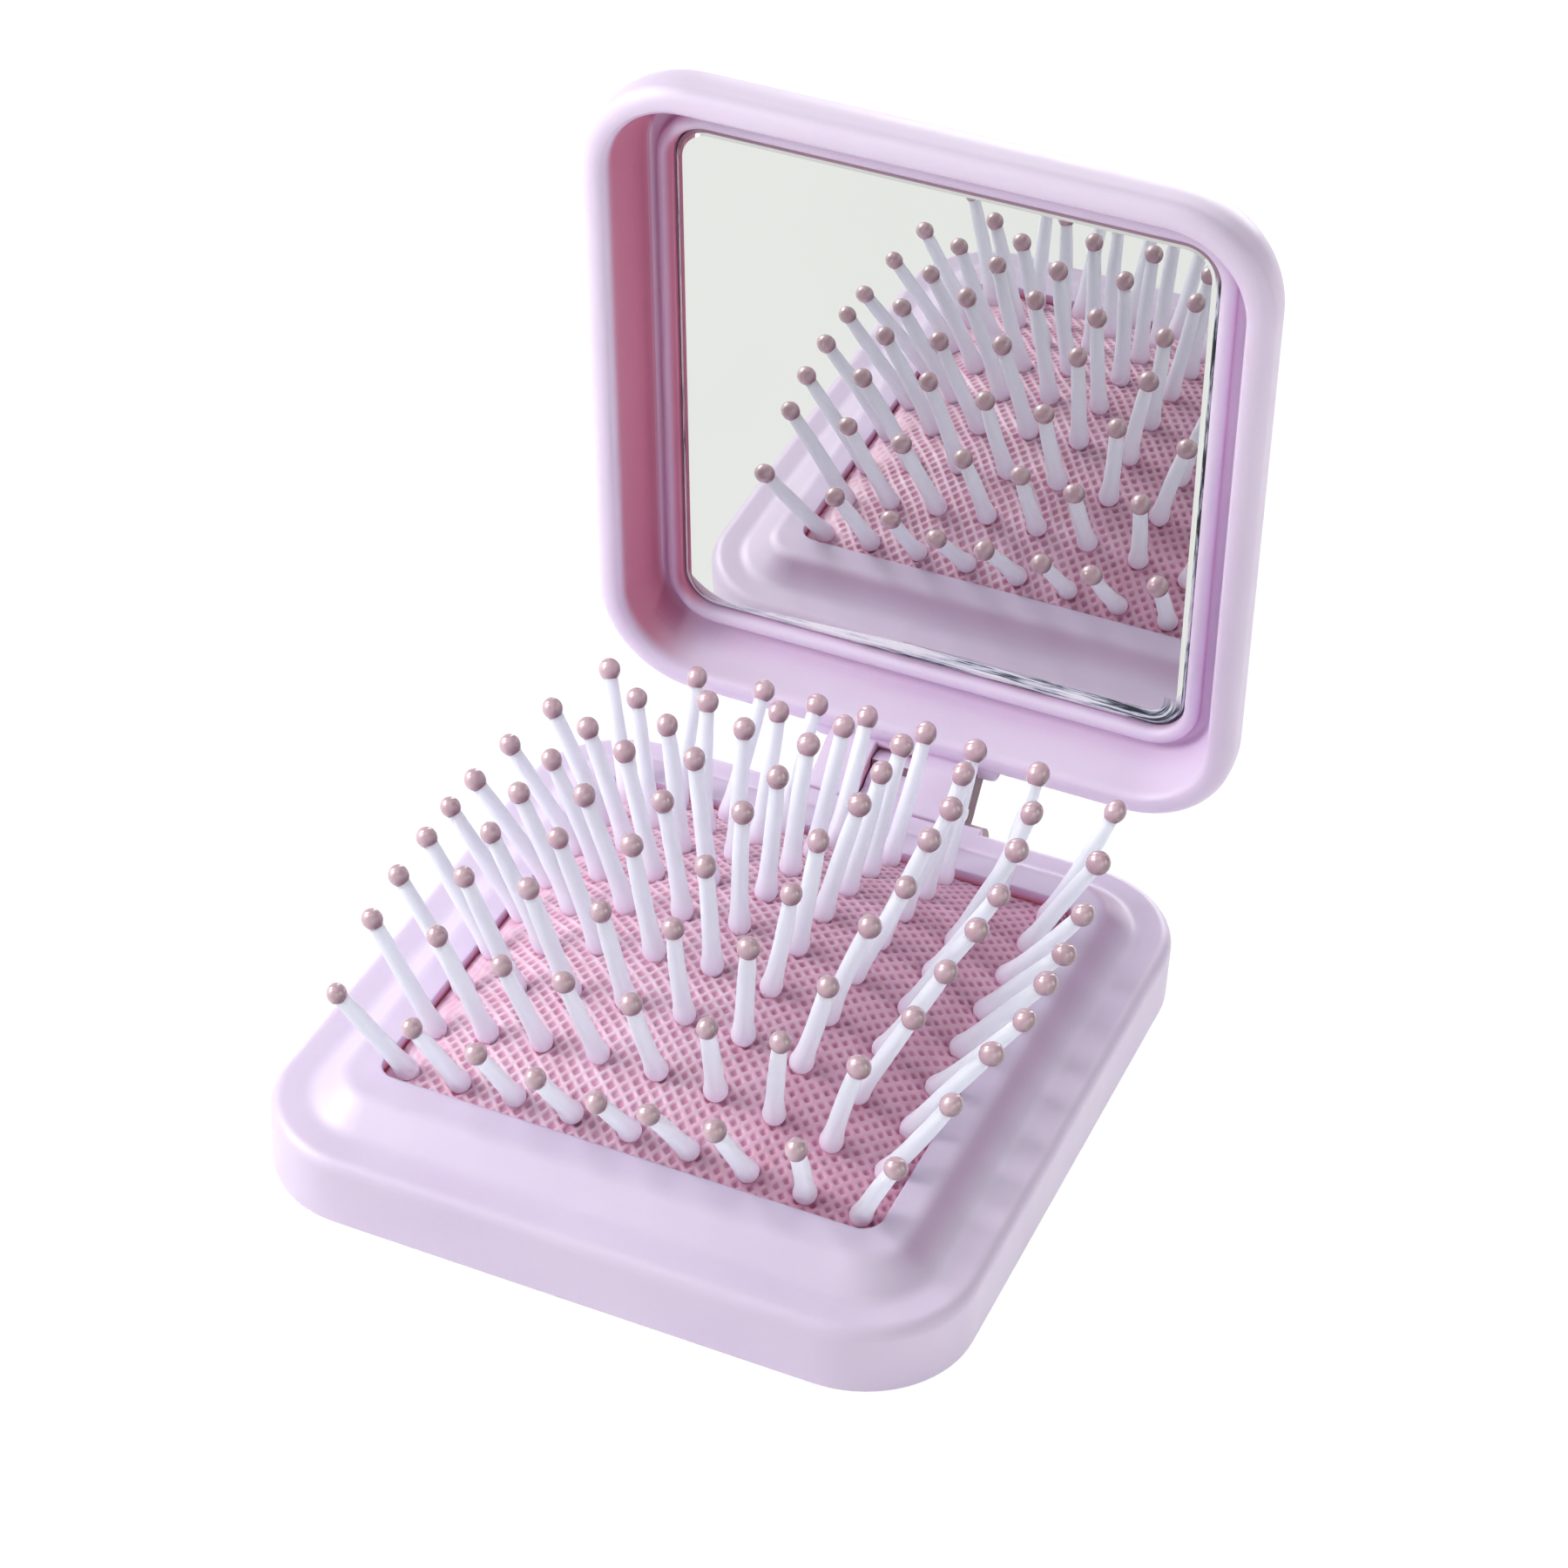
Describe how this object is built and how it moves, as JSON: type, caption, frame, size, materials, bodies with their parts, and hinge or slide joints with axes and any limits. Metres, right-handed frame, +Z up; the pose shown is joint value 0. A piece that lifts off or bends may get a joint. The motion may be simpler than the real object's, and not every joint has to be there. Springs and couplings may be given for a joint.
{
  "type": "folding hairbrush with mirror",
  "caption": "Square folding pocket hairbrush: a lid with a mirror hinges over a base whose domed rubber pad carries ball-tipped bristle pins.",
  "frame": {"origin": "middle of the base's footprint, on the plane the base rests on", "axes": "+Z up, +X along the hinge, +Y from the front of the base to the hinge; the lid is shown open by 84 degrees"},
  "size_m": [0.076, 0.095, 0.0906],
  "materials": {
    "case_plastic": "satin moulded lilac ABS",
    "frame_plastic": "fine matt lilac ABS",
    "pad_rubber": "pink rubber with a moulded diamond mesh",
    "pin_nylon": "milky white nylon",
    "tip_resin": "glossy mauve dipped resin",
    "pin_steel": "drawn steel wire",
    "tape": "white foam tape",
    "backing_paint": "grey protective paint",
    "mirror_silver": "silvered glass with a ground edge"
  },
  "bodies": {
    "base": {"base_housing": "case_plastic", "bottom_frame": "frame_plastic", "cushion_pad": "pad_rubber", "pin_row_1": "pin_nylon", "pin_row_2": "pin_nylon", "pin_row_3": "pin_nylon", "pin_row_4": "pin_nylon", "pin_row_5": "pin_nylon", "pin_row_6": "pin_nylon", "pin_row_7": "pin_nylon", "pin_row_8": "pin_nylon", "pin_row_9": "pin_nylon", "tip_row_1": "tip_resin", "tip_row_2": "tip_resin", "tip_row_3": "tip_resin", "tip_row_4": "tip_resin", "tip_row_5": "tip_resin", "tip_row_6": "tip_resin", "tip_row_7": "tip_resin", "tip_row_8": "tip_resin", "tip_row_9": "tip_resin"},
    "lid": {"lid_shell": "case_plastic", "mirror_tape": "tape", "mirror_backing": "backing_paint", "mirror_glass": "mirror_silver", "hinge_pin": "pin_steel"}
  },
  "joints": [
    {"name": "lid_hinge", "type": "hinge", "parent": "base", "child": "lid", "pos_m": [0, 0.04434, 0.00615], "axis": [-1, 0, 0], "range_deg": [-84, 10], "deforming": ["cushion_pad", "pin_row_1", "pin_row_2", "pin_row_3", "pin_row_4", "pin_row_5", "pin_row_6", "pin_row_7", "pin_row_8", "pin_row_9", "tip_row_1", "tip_row_2", "tip_row_3", "tip_row_4", "tip_row_5", "tip_row_6", "tip_row_7", "tip_row_8", "tip_row_9"]}
  ]
}
